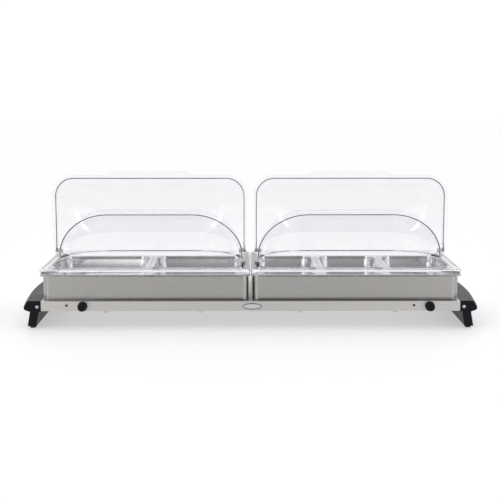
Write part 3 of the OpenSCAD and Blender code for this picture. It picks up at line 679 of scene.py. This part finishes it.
def archPoints(half, top, radius, foot=3 * mm):  # left to right, along X and away from the pivots
    centre = top - radius
    flat = half - radius
    low = math.degrees(math.asin((foot - centre) / radius)) if centre < foot else 0
    footX = flat + radius * math.cos(math.radians(low))
    right = [(footX, foot + max(0, centre - foot) * k / 7) for k in range(7)]
    right += [(flat + a, centre + b) for a, b in arcOf(0, 0, radius, low, 90, 18)]
    left = [(-x, h) for x, h in right]
    middle = [(-flat + 2 * flat * k / 44, top) for k in range(1, 44)]
    return left + middle + right[::-1]


def solidified(piece, thickness):
    wall = piece.modifiers.new("wall", "SOLIDIFY")
    wall.thickness = thickness
    wall.offset = -1
    wall.use_even_offset = True
    # the cut rim faces take the second material slot, the near-black tint that paints shade along the lids'
    # edges
    wall.material_offset_rim = 1
    settled(piece)
    piece.data.shade_smooth()
    piece.data.set_sharp_from_angle(angle=math.radians(55))
    return piece


def shellPiece(side):
    s = lidShape
    place = lidPlace(side)
    pivot = Vector((0, s["pivotBack"], s["pivotUp"]))
    reach = s["pivotBack"] - s["front"]
    edge, bend, turns = s["rimHalf"], s["bend"], s["turns"]

    def lowRow(out, z, lip=0):  # one turn round the rim, seen from above
        row = []
        for x, h in archPoints(edge + out, reach + out, s["corner"] + out):
            near = min(1, max(0, (s["lipHalf"] - abs(x)) / s["lipEase"]))
            forward = lip * near * near * (3 - 2 * near) if h > reach + out - 0.1 * mm else 0
            fade = min(1, max(0, (h - s["pivotUp"]) / s["fade"]))  # the flange dies away before the pivots
            if abs(x) > edge:
                x = math.copysign(edge + (abs(x) - edge) * fade, x)
            row.append(Vector((x, pivot.y - h - forward, z)))
        return row

    top = s["rimGap"] + s["wall"]
    flange = ((s["flange"], 1), (s["flange"] * 0.5, 0.45), (bend, 0))
    rows = [lowRow(out, top, s["lip"] * share) for out, share in flange]
    rows += [lowRow(bend + a, top + bend + b) for a, b in arcOf(0, 0, bend, 270, 180, 3)[1:]]
    rows.append(lowRow(0, s["upright"]))
    for k in range(turns + 1):
        t = 1 - k / turns
        share = t * t * (3 - 2 * t)
        arch = archPoints((1 - share) * (s["half"] + s["movingRadius"]) + share * edge,
                          (1 - share) * (s["movingRadius"] - s["drop"]) + share * reach,
                          (1 - share) * s["movingRadius"] + share * s["corner"])
        angle = math.radians(s["shellTilt"] + (90 - s["shellTilt"]) * t)
        rows.append([pivot + Vector((x, -h * math.sin(angle), h * math.cos(angle))) for x, h in arch])
    for row in rows:  # rolled back a quarter turn
        for p in row:
            y, z = p.y - pivot.y, p.z - pivot.z
            p.y, p.z = pivot.y + z, pivot.z - y
            p += place
    bm = outwards(loft(rows, closedRings=False))
    piece = pieceFrom(f"lid_shell_{side}_piece", bm, True, [clearLid, paintedEdgeShade])
    within = Vector((0, 0, 80 * mm))
    pointAway(piece, place + pivot + within)
    solidified(piece, s["wall"])
    bm = bmesh.new()
    bm.from_mesh(piece.data)
    for sign in (-1, 1):  # a boss round each rivet
        x0, x1 = sorted((sign * s["bossIn"], sign * s["bossOut"]))
        discX(bm, place.x + x0, place.x + x1, place.y + pivot.y, place.z + pivot.z, s["bossRadius"])
    bm.to_mesh(piece.data)
    bm.free()
    return piece


def pointAway(piece, centre):
    bm = bmesh.new()
    bm.from_mesh(piece.data)
    total = sum((f.calc_center_median() - centre).dot(f.normal) * f.calc_area() for f in bm.faces)
    if total < 0:
        bmesh.ops.reverse_faces(bm, faces=bm.faces)
    bm.to_mesh(piece.data)
    bm.free()


def discX(bm, x0, x1, y, z, radius):
    edge = 0.6 * mm
    steps = 32
    angles = [2 * math.pi * k / steps for k in range(steps)]
    rings = []
    for x, r in ((x0, radius - edge), (x0 + edge * 0.3, radius - edge * 0.3), (x0 + edge, radius),
                 (x1 - edge, radius), (x1 - edge * 0.3, radius - edge * 0.3), (x1, radius - edge)):
        rings.append([(x, y + r * math.cos(a), z + r * math.sin(a)) for a in angles])
    rows = [[bm.verts.new(p) for p in ring] for ring in rings]
    for a, b in zip(rows, rows[1:]):
        for k in range(steps):
            bm.faces.new((a[k], a[(k + 1) % steps], b[(k + 1) % steps], b[k]))
    bm.faces.new(rows[0])
    bm.faces.new(list(reversed(rows[-1])))
    for row in rows:
        for vert in row:
            for face in vert.link_faces:
                face.smooth = True


def domePiece(side):
    s = lidShape
    start = lidPlace(side) + Vector((0, s["pivotBack"], 0))
    r = s["fixedRadius"]
    arch = archPoints(s["half"] + r, r - s["drop"], r)
    rows = []
    turns = s["turns"]
    for k in range(turns + 1):
        a = math.radians(-s["fixedTilt"] + (90 + s["fixedTilt"]) * k / turns)
        rows.append([start + Vector((x, h * math.sin(a), s["pivotUp"] + h * math.cos(a))) for x, h in arch])
    for z in (12 * mm, 5 * mm, 0.0):
        rows.append([start + Vector((x, h, z)) for x, h in arch])
    bm = outwards(loft(rows, closedRings=False))
    piece = pieceFrom(f"lid_dome_{side}", bm, True, [clearLid, paintedEdgeShade])
    pointAway(piece, start)
    return solidified(piece, s["wall"])


def resampled(points, count):
    closed = points + [points[0]]
    lengths = [0]
    for a, b in zip(closed, closed[1:]):
        lengths.append(lengths[-1] + (b - a).length)
    total, result, j = lengths[-1], [], 0
    for k in range(count):
        target = total * k / count
        while lengths[j + 1] < target:
            j += 1
        share = (target - lengths[j]) / max(1e-9, lengths[j + 1] - lengths[j])
        result.append(closed[j].lerp(closed[j + 1], share))
    return result


def offsetOutline(points, out):
    count = len(points)
    moved = []
    for k, p in enumerate(points):
        along = (points[(k + 1) % count] - points[k - 1]).normalized()
        moved.append(p + Vector((along.y, -along.x, 0)) * out)
    return moved


def ringPiece(side):
    s = lidShape
    place = lidPlace(side)
    low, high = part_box(f"lid_base_{side}")
    halfX, depth = (high[0] - low[0]) / 2, high[1] - low[1]
    half = halfX - s["ledge"]
    r = s["fixedRadius"] - s["wall"] - 3 * mm
    drop = s["drop"]
    start = math.degrees(math.acos((half - s["half"]) / r))
    turn = s["openingCorner"]
    opening = [Vector((0, s["ledge"], 0)), Vector((half - turn, s["ledge"], 0))]
    opening += [Vector((half - turn + a, s["ledge"] + turn + b, 0))
                for a, b in arcOf(0, 0, turn, 270, 360, 8)]
    opening += [Vector((s["half"] + a, s["pivotBack"] - drop + b, 0))
                for a, b in arcOf(0, 0, r, start, 90, 24)]
    opening += [Vector((-p.x, p.y, 0)) for p in reversed(opening[1:])]

    def outerOutline(inset, insetY=None, corner=None):
        insetY = inset if insetY is None else insetY
        c = corner or s["ledgeCorner"] - inset
        pts = [Vector((0, insetY, 0))]
        pts += [Vector((halfX - inset - c + a, insetY + c + b, 0)) for a, b in arcOf(0, 0, c, 270, 360, 10)]
        pts += [Vector((halfX - inset - c + a, depth - insetY - c + b, 0))
                for a, b in arcOf(0, 0, c, 0, 90, 10)]
        pts += [Vector((-p.x, p.y, 0)) for p in reversed(pts[1:])]
        return resampled(pts, s["ringPoints"])

    inner = resampled(opening, s["ringPoints"])
    rings = []

    def add(points, z):
        rings.append([place + p + Vector((0, 0, z)) for p in points])

    edge = s["ringEdge"]
    bottom = -s["skirt"] - s["hang"]
    add(outerOutline(0.4 * mm), bottom)
    add(outerOutline(0), bottom + 0.5 * mm)
    add(outerOutline(0), -edge - 4 * mm)
    for a, b in arcOf(0, 0, edge, 0, 90, 5):
        add(outerOutline(edge - a), -edge + b)
    add(outerOutline(6 * mm), 0)
    add(offsetOutline(inner, 4 * mm), 0)
    add(offsetOutline(inner, 2.2 * mm), 0.4 * mm)
    add(offsetOutline(inner, 1.9 * mm), 2.6 * mm)
    add(offsetOutline(inner, 1.2 * mm), 3.4 * mm)
    add(offsetOutline(inner, 0.4 * mm), 3.2 * mm)
    add(inner, 2.4 * mm)
    add(inner, -2.6 * mm)
    add(offsetOutline(inner, 0.4 * mm), -3 * mm)
    add(outerOutline(4.5 * mm, 8 * mm, 11 * mm), -3 * mm)
    add(outerOutline(3 * mm, 6.5 * mm, 12 * mm), -4.5 * mm)
    add(outerOutline(3 * mm, 6.5 * mm, 12 * mm), -s["skirt"])
    add(outerOutline(2.8 * mm, 1.5 * mm, 18 * mm), -s["skirt"])
    add(outerOutline(2.8 * mm, 1.5 * mm, 18 * mm), bottom)
    bm = loft(rings, closedLoop=True)
    outwards(bm)
    for sign in (-1, 1):  # posts under the rolled-back shell's edge
        spot = place + Vector((sign * s["postX"], s["pivotBack"] + s["postBack"], s["postUp"]))
        shape = Matrix.Translation(spot) @ Matrix.Diagonal((*s["postSize"], 1))
        block = bmesh.ops.create_cube(bm, size=1, matrix=shape)
        edges = list({line for v in block["verts"] for line in v.link_edges})
        bmesh.ops.bevel(bm, geom=edges, offset=0.8 * mm, segments=3, affect="EDGES", profile=0.5)
    bmesh.ops.recalc_face_normals(bm, faces=bm.faces)
    piece = pieceFrom(f"lid_ring_{side}", bm, True, [clearLid])
    piece.data.set_sharp_from_angle(angle=math.radians(50))
    return piece


for side in ("left", "right"):
    finished(shellPiece(side), f"lid_shell_{side}", "clear", f"lid_shell_{side}")
    finished(domePiece(side), f"lid_base_{side}", "clear", f"lid_base_{side}")
    finished(ringPiece(side), f"lid_base_{side}", "clear", f"lid_base_{side}")
print("lids made")
